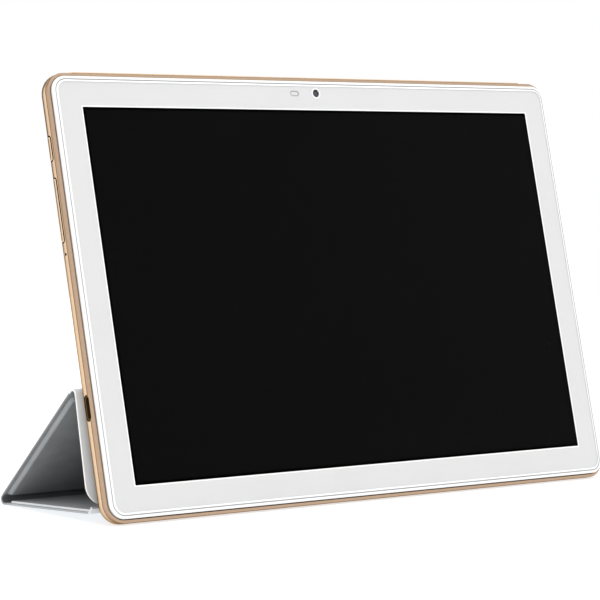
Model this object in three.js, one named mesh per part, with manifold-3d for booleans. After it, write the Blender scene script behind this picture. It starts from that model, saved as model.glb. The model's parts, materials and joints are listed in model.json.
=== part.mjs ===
// A 10.1 inch tablet computer standing in its three-panel folding cover.
// Units are millimetres, +Z is up, +X runs along the long side and +Y points to the back.
// Tablet pieces are drawn in the screen's own axes: x to the right, y up the screen and
// z out of the glass, with the middle of the glass front at zero. One group leans them back.
import * as THREE from 'three';
import { mergeVertices } from 'three/addons/utils/BufferGeometryUtils.js';
import Module from 'manifold-3d';

const wasm = await Module();
wasm.setup();

// ---- driving dimensions ----
const LEAN = THREE.MathUtils.degToRad(14.85);     // screen's lean behind the vertical
const GAP = 0.3;                                  // clearance between pieces that touch
const TABLET = { width: 243, height: 161, thickness: 9.2, corner: 7.5 };
const SHELL = { wall: 1.2, floor: 1.1, edge: 5.0, front: -1.5 };
const RING = { width: 240.8, height: 158.2, corner: 6, front: -0.15, back: -3.4 };
const GLASS = { width: 237.8, height: 155.6, corner: 4.5, thickness: 0.9, chamfer: 0.6 };
const SCREEN = { width: 216.96, height: 135.6 };
const PLATE = { front: -4.4, back: -4.9 };
const BAY = { front: -5.2, back: -7.8 };          // depth band of the boards and the cells
const SIDE_KEY = { z: -6.2, halfThickness: 1.0, outer: -121.75, neck: -119.25, inner: -118.65 };
const POWER_KEY = { y: 53.65, halfLength: 4.35 };
const VOLUME_KEY = { y: 31.4, halfLength: 11.5 };
const PORT = { y: -39.2, z: -4.5, halfLength: 4.6, halfThickness: 1.65, depth: 7.3 };
const JACK = { x: 9.2, z: -5.6, bore: 1.5, halfWidth: 3, halfHeight: 1.85, length: 12 };
const CAMERA = { x: 0.2, y: 74.4 };
const SENSOR = { x: -10.3, y: 74.2 };
const REAR_CAMERA = { x: -104, y: 65, radius: 5.2 };
const FLASH = { x: -91, y: 65, radius: 1.8 };
const SPEAKER = { x: 88, y: -66.5, width: 34, height: 11 };
const SCREW_X = [-113.5, -40, 40, 113.5];
const SCREW_Y = 71;
const COVER = {
  halfWidth: 121.75, corner: 7, skin: 0.7, board: 1.0, boardInset: 3.6, boardCorner: 1.5,
  spineY: -75.1, spineZ: -11.1,                   // spine hinge, in the screen's axes
  flapFace: -9.8, apexY: -33.1, flapLength: 39.3,
  flapTilt: THREE.MathUtils.degToRad(2.6),        // flap's slope away from the tablet's back
  rearFoldY: 45.5,                                // rear fold, behind the middle of the glass
};

// ---- materials ----
function finish(color, roughness, metalness) {
  return new THREE.MeshStandardMaterial({ color, roughness, metalness });
}

const GOLD = finish(0xd6b997, 0.34, 0.9);
const WHITE = finish(0xeaeaea, 0.35, 0);
const CLEAR = finish(0xf4f6f6, 0.05, 0);
const BLACK = finish(0x101010, 0.2, 0);
const STEEL = finish(0xa9acb0, 0.35, 0.9);
const GREEN = finish(0x1e5a3c, 0.5, 0.1);
const GRAPHITE = finish(0x2b2c2e, 0.6, 0);
const AMBER = finish(0xb4702a, 0.5, 0.1);
const SILVER_FOIL = finish(0xc9c9c7, 0.45, 0.6);
const LEATHER = finish(0xc3c7c9, 0.7, 0);
const LINING = finish(0x9ea2a4, 0.8, 0);

// ---- shapes ----
function roundedRect(width, height, radius, centreX = 0, centreY = 0) {
  const [x0, x1] = [centreX - width / 2, centreX + width / 2];
  const [y0, y1] = [centreY - height / 2, centreY + height / 2];
  const shape = new THREE.Shape();
  shape.moveTo(x0 + radius, y0);
  shape.lineTo(x1 - radius, y0);
  shape.absarc(x1 - radius, y0 + radius, radius, -Math.PI / 2, 0);
  shape.lineTo(x1, y1 - radius);
  shape.absarc(x1 - radius, y1 - radius, radius, 0, Math.PI / 2);
  shape.lineTo(x0 + radius, y1);
  shape.absarc(x0 + radius, y1 - radius, radius, Math.PI / 2, Math.PI);
  shape.lineTo(x0, y0 + radius);
  shape.absarc(x0 + radius, y0 + radius, radius, Math.PI, 1.5 * Math.PI);
  return shape;
}

// The outline as straight runs between distinct points, so that no edge has zero length.
function facet(shape, curveSegments) {
  const points = shape.getPoints(curveSegments);
  const distinct = points.filter((point, index) =>
    point.distanceTo(points[(index + 1) % points.length]) > 1e-4);
  return new THREE.Shape(distinct);
}

function extrude(shape, z0, z1, curveSegments = 4) {
  const settings = { depth: z1 - z0, bevelEnabled: false };
  return new THREE.ExtrudeGeometry(facet(shape, curveSegments), settings).translate(0, 0, z0);
}

// A slab whose front and back rims are cut by a flat chamfer or a rounded edge.
function softSlab(width, height, radius, z0, z1, inset, rise, segments = 1) {
  const shape = roundedRect(width - 2 * inset, height - 2 * inset, Math.max(radius - inset, 0.1));
  const settings = {
    depth: z1 - z0 - 2 * rise, bevelEnabled: true, bevelSize: inset, bevelThickness: rise,
    bevelSegments: segments,
  };
  return new THREE.ExtrudeGeometry(facet(shape, 4), settings).translate(0, 0, z0 + rise);
}

function block(x0, x1, y0, y1, z0, z1) {
  const box = new THREE.BoxGeometry(x1 - x0, y1 - y0, z1 - z0);
  return box.translate((x0 + x1) / 2, (y0 + y1) / 2, (z0 + z1) / 2);
}

function disc(x, y, z0, z1, radius, segments = 16) {
  const shape = new THREE.CylinderGeometry(radius, radius, z1 - z0, segments).rotateX(Math.PI / 2);
  return shape.translate(x, y, (z0 + z1) / 2);
}

function rodAlongY(x, z, y0, y1, radius, segments = 12) {
  const rod = new THREE.CylinderGeometry(radius, radius, y1 - y0, segments);
  return rod.translate(x, (y0 + y1) / 2, z);
}

// A round-ended bar whose section lies in y and z, run along x.
function pillAlongX(y, z, halfLength, halfThickness, x0, x1) {
  const section = roundedRect(2 * halfLength, 2 * halfThickness, halfThickness - 0.01, y, z);
  const turn = new THREE.Matrix4().makeBasis(
    new THREE.Vector3(0, 1, 0), new THREE.Vector3(0, 0, 1), new THREE.Vector3(1, 0, 0));
  return extrude(section, x0, x1).applyMatrix4(turn);
}

// ---- solids ----
function solid(geometry) {
  const bare = geometry.clone();
  bare.deleteAttribute('normal');
  bare.deleteAttribute('uv');
  const merged = mergeVertices(bare);
  const vertProperties = new Float32Array(merged.attributes.position.array);
  const triVerts = new Uint32Array(merged.index.array);
  return new wasm.Manifold(new wasm.Mesh({ numProp: 3, vertProperties, triVerts }));
}

function join(...geometries) {
  return geometries.map(solid).reduce((whole, next) => whole.add(next));
}

function cut(whole, ...tools) {
  return tools.map(solid).reduce((left, tool) => left.subtract(tool), whole);
}

function surface(body) {
  const mesh = body.getMesh();
  const geometry = new THREE.BufferGeometry();
  geometry.setAttribute('position', new THREE.BufferAttribute(mesh.vertProperties, 3));
  geometry.setIndex(new THREE.BufferAttribute(mesh.triVerts, 1));
  geometry.computeVertexNormals();
  return geometry;
}

function piece(parent, name, shape, material) {
  const geometry = shape.isBufferGeometry ? shape : surface(shape);
  const mesh = new THREE.Mesh(geometry, material.clone());
  mesh.name = name;
  parent.add(mesh);
  return mesh;
}

// ---- casing ----
const inner = {
  width: TABLET.width - 2 * SHELL.wall,
  height: TABLET.height - 2 * SHELL.wall,
  corner: TABLET.corner - SHELL.wall,
  floor: -TABLET.thickness + SHELL.floor,
};
const FAR = 20;                                   // reach of a cutting tool past the casing

function screwPlaces() {
  return SCREW_X.flatMap((x) => [[x, -SCREW_Y], [x, SCREW_Y]]);
}

function speakerHoles() {
  const holes = [];
  for (const side of [-1, 1]) {
    for (let slot = -4; slot <= 4; slot += 1) {
      holes.push(rodAlongY(side * SPEAKER.x + slot * 2.4, JACK.z, -90, -77, 0.65, 8));
    }
  }
  return holes;
}

function sideKeyCuts() {
  const room = GAP + SIDE_KEY.halfThickness;
  const slots = [POWER_KEY, VOLUME_KEY].map((key) =>
    pillAlongX(key.y, SIDE_KEY.z, key.halfLength + GAP, room, -130, -117));
  const bay = block(-119.6, -114, 17.5, 60.5, SIDE_KEY.z - 1.25, -4.9);
  return [...slots, bay];
}

function rearCover() {
  const outer = softSlab(TABLET.width, TABLET.height, TABLET.corner,
    -TABLET.thickness, FAR, SHELL.edge, TABLET.thickness - 4.1, 5);
  const hollow = softSlab(inner.width, inner.height, inner.corner,
    inner.floor, FAR + 5, SHELL.edge - SHELL.wall, 3.9, 4);
  const front = block(-140, 140, -100, 100, SHELL.front, FAR + 10);
  const shell = cut(solid(outer), hollow, front, ...sideKeyCuts(), ...speakerHoles(),
    pillAlongX(PORT.y, PORT.z, PORT.halfLength, PORT.halfThickness, -130, -112),
    pillAlongX(15.55, PORT.z, 0.5, 0.5, -130, -112),
    rodAlongY(JACK.x, JACK.z, -90, -77, JACK.bore + 0.15, 16),
    rodAlongY(-19, -3, -90, -77, 0.5, 8),
    disc(REAR_CAMERA.x, REAR_CAMERA.y, -12, -7, REAR_CAMERA.radius, 24),
    disc(FLASH.x, FLASH.y, -12, -7, FLASH.radius, 16));
  const bosses = screwPlaces().map(([x, y]) =>
    cut(solid(disc(x, y, inner.floor - 0.5, PLATE.back - GAP, 2.2, 12)),
      disc(x, y, inner.floor + 0.2, 0, 0.9, 8)));
  return bosses.reduce((whole, boss) => whole.add(boss), shell);
}

// The ring that carries the glass: a lip in front of the casing and a ledge inside it.
function midFrame() {
  const lip = extrude(roundedRect(RING.width, RING.height, RING.corner),
    SHELL.front + GAP, RING.front, 6);
  const body = extrude(roundedRect(RING.width - 1, RING.height - 1, RING.corner - 0.5),
    RING.back, SHELL.front + GAP + 0.1);
  const pocket = extrude(roundedRect(GLASS.width + 2 * GAP, GLASS.height + 2 * GAP,
    GLASS.corner + GAP, 0, 0), -1.8, 5, 6);
  const window = extrude(roundedRect(225.2, 143.2, 1), -10, 5);
  const portRoom = block(-125, -112, PORT.y - 5, PORT.y + 5, -10, -2.5);
  const jackRoom = block(JACK.x - 3.4, JACK.x + 3.4, -90, -66, -10, -2.8);
  const cameraRoom = block(-14.5, 4.8, 71, 78, -10, -1.0);
  return cut(join(lip, body), pocket, window, portRoom, jackRoom, cameraRoom);
}

function frontPieces(group) {
  piece(group, 'rear_cover', rearCover(), GOLD);
  piece(group, 'mid_frame', midFrame(), WHITE);
  piece(group, 'cover_glass', softSlab(GLASS.width, GLASS.height, GLASS.corner,
    -GLASS.thickness, 0, GLASS.chamfer, 0.25), CLEAR);
  const border = extrude(roundedRect(GLASS.width - 0.6, GLASS.height - 0.6, GLASS.corner - 0.3),
    -1.5, -GLASS.thickness - GAP);
  const openings = [
    block(-SCREEN.width / 2, SCREEN.width / 2, -SCREEN.height / 2, SCREEN.height / 2, -5, 5),
    disc(CAMERA.x, CAMERA.y, -5, 5, 1.5, 20),
    pillSensor(0, -5, 5),
  ];
  piece(group, 'bezel_mask', cut(solid(border), ...openings), WHITE);
  piece(group, 'top_antenna_strip', block(-110, 110, TABLET.height / 2 + GAP,
    TABLET.height / 2 + 0.7, -5.4, -2.6), GOLD);
}

function pillSensor(shrink, z0, z1) {
  return extrude(roundedRect(4.2 - 2 * shrink, 2.1 - 2 * shrink, 1.0 - shrink,
    SENSOR.x, SENSOR.y), z0, z1);
}

// ---- display stack ----
function displayPieces(group) {
  piece(group, 'display_panel', block(-110.5, 110.5, -69.8, 69.8, -2.6, -1.8), BLACK);
  piece(group, 'backlight_tray', block(-112, 112, -71, 71, -3.6, -2.9), SILVER_FOIL);
  const plate = extrude(roundedRect(238, 156, 5), PLATE.back, PLATE.front);
  const holes = screwPlaces().map(([x, y]) => disc(x, y, -10, 0, 0.9, 8));
  piece(group, 'support_plate', cut(solid(plate), ...holes,
    block(-125, -112, PORT.y - 5.1, PORT.y + 5.1, -10, 0),
    block(JACK.x - 3.4, JACK.x + 3.4, -90, -64.6, -10, 0),
    block(-14.5, 4.8, 70.5, 90, -10, 0),
    disc(REAR_CAMERA.x, REAR_CAMERA.y, -10, 0, 6, 16)), STEEL);
  piece(group, 'display_flex', block(-70, -58.6, -30, 8, -5.8, BAY.front), AMBER);
}

// ---- electronics ----
function boardPieces(group) {
  piece(group, 'main_board', block(-113, -62, -50, 56, -7.4, -6.6), GREEN);
  piece(group, 'processor_shield', block(-98, -74, 12, 36, -6.3, BAY.front), STEEL);
  piece(group, 'memory_shield', block(-98, -74, -10, 9, -6.3, BAY.front), STEEL);
  piece(group, 'radio_shield', block(-98, -80, 40, 53, -6.3, BAY.front), STEEL);
  for (const [name, side] of [['left', -1], ['right', 1]]) {
    const edges = [side * 1.5, side * 58].sort((a, b) => a - b);
    piece(group, `battery_${name}`, block(...edges, -58, 62, BAY.back, BAY.front), GRAPHITE);
  }
  piece(group, 'battery_board', block(-50, 50, 62.4, 65.4, -7.2, -6.2), GREEN);
  piece(group, 'wifi_antenna', block(66, 110, 70, 76, -6.4, -6.0), AMBER);
  piece(group, 'vibration_motor', disc(88, 20, BAY.back, -5.6, 5, 20), STEEL);
}

function soundPieces(group) {
  for (const [name, side] of [['left', -1], ['right', 1]]) {
    const half = SPEAKER.width / 2;
    piece(group, `speaker_${name}`, block(side * SPEAKER.x - half, side * SPEAKER.x + half,
      SPEAKER.y - SPEAKER.height / 2, SPEAKER.y + SPEAKER.height / 2, -7.6, BAY.front), BLACK);
  }
  piece(group, 'microphone', block(-21.5, -16.5, -70, -66.5, -7.0, -5.6), STEEL);
  const low = -77.0;
  const body = block(JACK.x - JACK.halfWidth, JACK.x + JACK.halfWidth, low, low + JACK.length,
    JACK.z - JACK.halfHeight, JACK.z + JACK.halfHeight);
  piece(group, 'headphone_jack', cut(solid(body),
    rodAlongY(JACK.x, JACK.z, -90, low + JACK.length - 1, JACK.bore, 12)), BLACK);
}

function portPieces(group) {
  const [mouth, end] = [-120.9, -120.9 + PORT.depth];
  const halfLength = PORT.halfLength - GAP;
  const halfThickness = PORT.halfThickness - GAP;
  const can = solid(pillAlongX(PORT.y, PORT.z, halfLength, halfThickness, mouth, end));
  piece(group, 'usb_port_shell', cut(can, pillAlongX(PORT.y, PORT.z, halfLength - 0.3,
    halfThickness - 0.3, mouth - 1, end - 0.5)), STEEL);
  piece(group, 'usb_port_tongue', join(
    block(mouth + 0.9, end - 1.5, PORT.y - 3.1, PORT.y + 3.1, PORT.z - 0.35, PORT.z + 0.35),
    block(end - 2, end - 0.8, PORT.y - 3.1, PORT.y + 3.1, PORT.z - 0.7, PORT.z + 0.7)), BLACK);
}

function cameraPieces(group) {
  piece(group, 'front_camera_module', block(CAMERA.x - 3.2, CAMERA.x + 3.2, 71.3, 77.6,
    -5.8, -2.5), BLACK);
  piece(group, 'front_camera_lens', disc(CAMERA.x, CAMERA.y, -1.9, -1.2, 1.2, 20), BLACK);
  piece(group, 'light_sensor', block(SENSOR.x - 2.4, SENSOR.x + 2.4, 72.4, 76, -3.6, -2.2), BLACK);
  piece(group, 'sensor_window', pillSensor(GAP, -1.8, -1.2), SILVER_FOIL);
  const ring = disc(REAR_CAMERA.x, REAR_CAMERA.y, -10.0, -7.2, REAR_CAMERA.radius - GAP, 24);
  piece(group, 'rear_camera_ring', cut(solid(ring),
    disc(REAR_CAMERA.x, REAR_CAMERA.y, -12, 0, 3.7, 24)), GOLD);
  piece(group, 'rear_camera_lens', disc(REAR_CAMERA.x, REAR_CAMERA.y, -9.7, -8.9, 3.4, 24), BLACK);
  piece(group, 'rear_camera_module', disc(REAR_CAMERA.x, REAR_CAMERA.y, -8.5, -4.2, 3.4, 16),
    BLACK);
  piece(group, 'flash_led', disc(FLASH.x, FLASH.y, -9.3, -7.4, FLASH.radius - GAP, 16), CLEAR);
}

// ---- side keys ----
function sideKey(key) {
  const cap = pillAlongX(key.y, SIDE_KEY.z, key.halfLength, SIDE_KEY.halfThickness,
    SIDE_KEY.outer, SIDE_KEY.inner);
  const half = SIDE_KEY.halfThickness - 0.1;
  const flange = block(SIDE_KEY.neck, SIDE_KEY.inner, key.y - key.halfLength - 0.8,
    key.y + key.halfLength + 0.8, SIDE_KEY.z - half, SIDE_KEY.z + half);
  return join(cap, flange);
}

function keyPieces(group) {
  piece(group, 'power_button', sideKey(POWER_KEY), GOLD);
  piece(group, 'volume_rocker', sideKey(VOLUME_KEY), GOLD);
  piece(group, 'side_key_board', block(-116.1, -115.5, 19, 59, -7.2, -5.2), AMBER);
  const switches = {
    power_switch: POWER_KEY.y,
    volume_up_switch: VOLUME_KEY.y + 7,
    volume_down_switch: VOLUME_KEY.y - 7,
  };
  for (const [name, y] of Object.entries(switches)) {
    piece(group, name, block(-118.2, -116.4, y - 1.6, y + 1.6, -7.0, -5.3), BLACK);
  }
}

function screws(group) {
  const profile = [[0, -7.2], [0.6, -7.2], [0.6, -4.1], [1.5, -4.1], [1.5, -3.8], [0, -3.8]];
  const outline = profile.map(([r, z]) => new THREE.Vector2(r, z));
  screwPlaces().forEach(([x, y], index) => {
    const turned = new THREE.LatheGeometry(outline, 10).rotateX(Math.PI / 2);
    piece(group, `screw_${index + 1}`, turned.translate(x, y, 0), STEEL);
  });
}

// ---- folding cover ----
// A point of the section through the stand, from screen axes to (behind, above).
function standing(y, z) {
  const behind = y * Math.sin(LEAN) - z * Math.cos(LEAN);
  const above = y * Math.cos(LEAN) + z * Math.sin(LEAN);
  return new THREE.Vector2(behind, above);
}

// The strip bonded round the casing's lower back edge, which the spine hangs from.
function mountStrip() {
  const centre = [-TABLET.height / 2 + SHELL.edge, -4.1];
  const [near, far] = [SHELL.edge + GAP, SHELL.edge + GAP + 0.8];
  const section = new THREE.Shape();
  const [low, high] = [Math.PI + THREE.MathUtils.degToRad(54), 1.5 * Math.PI];
  section.absarc(centre[0], centre[1], far, low, high, false);
  section.lineTo(COVER.spineY + 1.3, centre[1] - far);
  section.lineTo(COVER.spineY + 1.3, centre[1] - near);
  section.absarc(centre[0], centre[1], near, high, low, true);
  const turn = new THREE.Matrix4().makeBasis(
    new THREE.Vector3(0, 1, 0), new THREE.Vector3(0, 0, 1), new THREE.Vector3(1, 0, 0));
  return extrude(section, -114, 114, 6).applyMatrix4(turn);
}

// One cover panel: along is its length from the fold, up is towards the stand's inside.
function panelGroup(parent, pivot, angle) {
  const group = new THREE.Group();
  group.position.set(0, pivot.x, pivot.y);
  group.rotation.x = angle;
  parent.add(group);
  return group;
}

// A panel's outline from start to end, with its two far corners rounded when asked.
function panelOutline(halfWidth, start, end, corner) {
  const outline = new THREE.Shape();
  outline.moveTo(-halfWidth, start);
  outline.lineTo(halfWidth, start);
  outline.lineTo(halfWidth, end - corner);
  outline.absarc(halfWidth - corner, end - corner, corner, 0, Math.PI / 2);
  outline.lineTo(-halfWidth + corner, end);
  outline.absarc(-halfWidth + corner, end - corner, corner, Math.PI / 2, Math.PI);
  return outline;
}

function boardSlab(start, end, top) {
  const slab = softSlab(2 * (COVER.halfWidth - COVER.boardInset), end - start, COVER.boardCorner,
    top - COVER.board, top, 0.4, 0.4);
  return slab.translate(0, (start + end) / 2, 0);
}

// Total build of a panel: skin, a bonded gap and the board, below the fold's axis.
const build = COVER.skin + GAP + COVER.board;

function coverPieces(model, lift) {
  const raise = new THREE.Vector2(0, lift);
  const spine = standing(COVER.spineY, COVER.spineZ).add(raise);
  const apex = standing(COVER.apexY, COVER.flapFace - build).add(raise);
  const skinMiddle = build - COVER.skin / 2;
  const rearFold = new THREE.Vector2(COVER.rearFoldY, build + 0.08);
  const span = rearFold.clone().sub(spine);
  const baseLength = Math.sqrt(span.lengthSq() - skinMiddle ** 2);
  const baseAngle = Math.atan2(span.y, span.x) - Math.atan2(skinMiddle, baseLength);

  const base = panelGroup(model, spine, baseAngle);
  const half = COVER.skin / 2;
  piece(base, 'cover_base_skin', extrude(panelOutline(COVER.halfWidth, 0.7, baseLength - 1.2, 0.01),
    -half, half), LEATHER);
  piece(base, 'cover_base_board', boardSlab(6, baseLength - 6.5, half + GAP + COVER.board), LINING);

  const rise = apex.clone().sub(rearFold);
  const rear = panelGroup(model, rearFold, rise.angle());
  const rearLength = rise.length();
  piece(rear, 'cover_rear_skin', extrude(panelOutline(COVER.halfWidth, 1.2, rearLength - 1.2, 0.01),
    -build, -build + COVER.skin), LEATHER);
  piece(rear, 'cover_rear_board', boardSlab(6.5, rearLength - 6, 0), LINING);

  const flap = panelGroup(model, apex, -Math.PI / 2 - LEAN + COVER.flapTilt);
  piece(flap, 'cover_flap_skin', extrude(panelOutline(COVER.halfWidth, 1.2, COVER.flapLength,
    COVER.corner), -build, -build + COVER.skin, 6), LEATHER);
  const magnets = [-80, 80];
  const pockets = magnets.map((x) => block(x - 10.3, x + 10.3, 15.7, 22.3, -5, -0.4));
  piece(flap, 'cover_flap_board', cut(solid(boardSlab(6, COVER.flapLength - 5, 0)), ...pockets),
    LINING);
  magnets.forEach((x, index) => {
    piece(flap, `flap_magnet_${index + 1}`, block(x - 10, x + 10, 16, 22, -1.0, -0.7), STEEL);
  });
}

// ---- assembly ----
const tablet = new THREE.Group();
tablet.rotation.x = Math.PI / 2 - LEAN;
frontPieces(tablet);
displayPieces(tablet);
boardPieces(tablet);
soundPieces(tablet);
portPieces(tablet);
cameraPieces(tablet);
keyPieces(tablet);
screws(tablet);
piece(tablet, 'cover_mount_strip', mountStrip(), LEATHER);

// The casing's lower back edge stands on the ground.
tablet.updateMatrixWorld(true);
const lift = -new THREE.Box3().setFromObject(tablet.getObjectByName('rear_cover'), true).min.z;
tablet.position.z = lift;

const model = new THREE.Group();
model.add(tablet);
coverPieces(model, lift);
model.updateMatrixWorld(true);
const extent = new THREE.Box3().setFromObject(model, true);
model.position.y = -(extent.min.y + extent.max.y) / 2;

export default model;
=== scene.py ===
import json
import math

import bmesh
import bpy
from mathutils import Matrix, Vector
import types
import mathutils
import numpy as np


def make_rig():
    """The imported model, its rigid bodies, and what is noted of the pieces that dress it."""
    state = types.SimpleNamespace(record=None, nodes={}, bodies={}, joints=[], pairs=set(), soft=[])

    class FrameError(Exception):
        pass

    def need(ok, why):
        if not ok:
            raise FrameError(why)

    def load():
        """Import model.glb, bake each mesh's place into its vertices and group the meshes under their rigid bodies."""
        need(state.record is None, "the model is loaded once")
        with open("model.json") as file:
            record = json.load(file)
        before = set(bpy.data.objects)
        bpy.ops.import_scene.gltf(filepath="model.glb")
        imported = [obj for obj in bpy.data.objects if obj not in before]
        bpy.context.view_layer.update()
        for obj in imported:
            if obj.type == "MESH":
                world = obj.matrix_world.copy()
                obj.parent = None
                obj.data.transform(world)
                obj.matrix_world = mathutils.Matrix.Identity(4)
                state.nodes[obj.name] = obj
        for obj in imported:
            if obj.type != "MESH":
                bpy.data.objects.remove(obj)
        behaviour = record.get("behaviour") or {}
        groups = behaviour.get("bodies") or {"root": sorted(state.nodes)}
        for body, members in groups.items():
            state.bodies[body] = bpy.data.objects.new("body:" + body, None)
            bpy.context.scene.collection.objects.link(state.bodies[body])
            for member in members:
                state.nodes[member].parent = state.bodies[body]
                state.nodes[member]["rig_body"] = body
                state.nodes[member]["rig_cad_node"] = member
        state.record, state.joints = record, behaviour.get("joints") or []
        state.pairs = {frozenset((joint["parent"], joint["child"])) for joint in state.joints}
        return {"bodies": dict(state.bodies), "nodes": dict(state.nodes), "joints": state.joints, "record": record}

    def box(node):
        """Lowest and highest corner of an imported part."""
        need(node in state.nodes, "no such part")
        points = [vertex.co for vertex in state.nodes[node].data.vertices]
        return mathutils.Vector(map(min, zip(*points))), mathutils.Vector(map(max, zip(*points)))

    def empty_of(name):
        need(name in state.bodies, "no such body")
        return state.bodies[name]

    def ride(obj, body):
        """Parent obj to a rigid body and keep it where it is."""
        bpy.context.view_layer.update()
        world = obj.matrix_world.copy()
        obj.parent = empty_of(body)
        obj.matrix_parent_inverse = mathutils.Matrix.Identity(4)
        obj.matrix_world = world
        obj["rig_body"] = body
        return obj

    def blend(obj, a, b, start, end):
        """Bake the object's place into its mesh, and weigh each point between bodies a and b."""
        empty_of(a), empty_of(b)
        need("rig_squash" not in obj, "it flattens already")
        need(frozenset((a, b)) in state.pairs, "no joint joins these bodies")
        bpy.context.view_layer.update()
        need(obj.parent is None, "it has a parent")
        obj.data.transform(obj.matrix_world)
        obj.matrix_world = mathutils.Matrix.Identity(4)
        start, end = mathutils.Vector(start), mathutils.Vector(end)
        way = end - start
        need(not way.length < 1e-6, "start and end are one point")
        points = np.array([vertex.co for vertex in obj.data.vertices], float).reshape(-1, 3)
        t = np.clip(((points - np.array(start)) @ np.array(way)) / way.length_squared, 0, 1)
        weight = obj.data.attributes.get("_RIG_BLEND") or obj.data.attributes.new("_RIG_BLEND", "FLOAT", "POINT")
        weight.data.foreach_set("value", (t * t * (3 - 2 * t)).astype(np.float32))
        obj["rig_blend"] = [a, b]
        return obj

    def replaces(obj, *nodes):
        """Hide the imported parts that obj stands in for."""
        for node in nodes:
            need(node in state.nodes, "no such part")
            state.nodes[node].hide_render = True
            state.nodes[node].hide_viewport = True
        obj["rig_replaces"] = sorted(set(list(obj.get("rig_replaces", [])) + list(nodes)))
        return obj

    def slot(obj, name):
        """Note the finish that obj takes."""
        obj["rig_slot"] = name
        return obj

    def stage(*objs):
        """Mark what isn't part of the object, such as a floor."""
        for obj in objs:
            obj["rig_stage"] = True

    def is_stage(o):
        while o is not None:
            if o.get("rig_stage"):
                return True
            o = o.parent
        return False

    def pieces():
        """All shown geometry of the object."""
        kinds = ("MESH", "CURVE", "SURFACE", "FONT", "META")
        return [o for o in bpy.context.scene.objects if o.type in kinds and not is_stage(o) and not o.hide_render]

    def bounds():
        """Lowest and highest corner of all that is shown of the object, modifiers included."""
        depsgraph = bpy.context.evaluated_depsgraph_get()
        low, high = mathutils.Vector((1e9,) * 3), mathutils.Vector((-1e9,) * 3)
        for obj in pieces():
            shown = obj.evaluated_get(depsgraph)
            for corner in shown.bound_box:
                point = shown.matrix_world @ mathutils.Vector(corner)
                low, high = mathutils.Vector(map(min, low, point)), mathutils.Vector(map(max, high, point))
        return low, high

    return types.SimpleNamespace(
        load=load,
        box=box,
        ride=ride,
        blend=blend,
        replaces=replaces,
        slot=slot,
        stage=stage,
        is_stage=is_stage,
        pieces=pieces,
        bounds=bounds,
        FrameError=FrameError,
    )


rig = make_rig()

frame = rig.load()
cad_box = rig.bounds()

# ---- axes ----
MM = 0.001
ACROSS = Vector((1, 0, 0))
JOINTS = {joint["name"]: joint for joint in frame["joints"]}
OUT = Vector(JOINTS["volume_rock"]["axis"])       # straight out of the glass
UP = OUT.cross(ACROSS)                            # up the screen


def placed(origin, along, normal):
    """Takes millimetres across, along and up a flat piece to metres in the part's frame."""
    turn = Matrix((ACROSS, along, normal)).transposed().to_4x4()
    return Matrix.Translation(origin) @ turn @ Matrix.Scale(MM, 4)


# ---- driving dimensions ----
TABLET = {"half_width": 121.5, "half_height": 80.5, "back": -9.2, "corner": 7.5}
SIDE = {"front": -1.5, "low": -4.1, "edge": 5.0, "wall": 1.2}
RING = {"half_width": 120.4, "half_height": 79.1, "corner": 6.0, "front": -0.15, "back": -3.4}
GLASS = {"half_width": 118.9, "half_height": 77.8, "corner": 4.5, "thickness": 0.9}
SCREEN_HALF = (108.48, 67.8)
# The caps lie 0.8 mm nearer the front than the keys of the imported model.
KEYS = {"z": -5.4, "half_thickness": 1.0, "outer": -121.75, "inner": -118.65}
KEY_ROOM = {"end_gap": 0.4, "half_thickness": 1.45, "offset": 0.15, "depth": 6,
            "wall_reach": 1.75, "wall_slack": 0.2}
POWER_KEY = {"y": 53.65, "half_length": 4.35}
VOLUME_KEY = {"y": 31.4, "half_length": 11.5}
PORT = {"y": -39.2, "z": -4.5, "half_length": 4.6, "half_thickness": 1.65}
JACK = {"x": 9.2, "z": -5.6, "radius": 1.65}
FRONT_CAMERA = (0.2, 74.4)
LIGHT_SENSOR = (-10.3, 74.2)
REAR_CAMERA = (-104.0, 65.0)
FLASH = (-91.0, 65.0)
SPEAKER_X = 88.0
SPEAKER_PITCH = 2.4

COVER_HALF = 121.75
COVER_CORNER = 7.0
SKIN = 0.7
BUILD = 2.0                                       # skin, bond and board of one panel
FLAP_LENGTH = 39.3
FLAP_TILT = math.radians(2.6)                     # the flap's slope away from the tablet's back
BASE_BOARD_FACE = BUILD - SKIN / 2 - 0.6          # above the middle of the base panel's skin

glass_low, glass_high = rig.box("cover_glass")
CENTRE = (glass_low + glass_high) / 2 + OUT * GLASS["thickness"] / 2 * MM
SCREEN = placed(CENTRE, UP, OUT)

SPINE = Vector(JOINTS["spine_fold"]["pos_m"])
REAR_FOLD = Vector(JOINTS["rear_fold"]["pos_m"])
TOP_FOLD = Vector(JOINTS["top_fold"]["pos_m"])
SKIN_MIDDLE = BUILD - SKIN / 2

base_span = (REAR_FOLD - SPINE) / MM
BASE_LENGTH = math.sqrt(base_span.length_squared - SKIN_MIDDLE ** 2)
base_along = (BASE_LENGTH * base_span - SKIN_MIDDLE * ACROSS.cross(base_span)).normalized()
REAR_LENGTH = (TOP_FOLD - REAR_FOLD).length / MM
rear_along = (TOP_FOLD - REAR_FOLD).normalized()
BASE = placed(SPINE, base_along, ACROSS.cross(base_along))
REAR = placed(REAR_FOLD, rear_along, ACROSS.cross(rear_along))
flap_along = -UP * math.cos(FLAP_TILT) - OUT * math.sin(FLAP_TILT)
FLAP = placed(TOP_FOLD, flap_along, ACROSS.cross(flap_along))


# ---- mesh tools ----
CORNER_STEPS = 12


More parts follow.
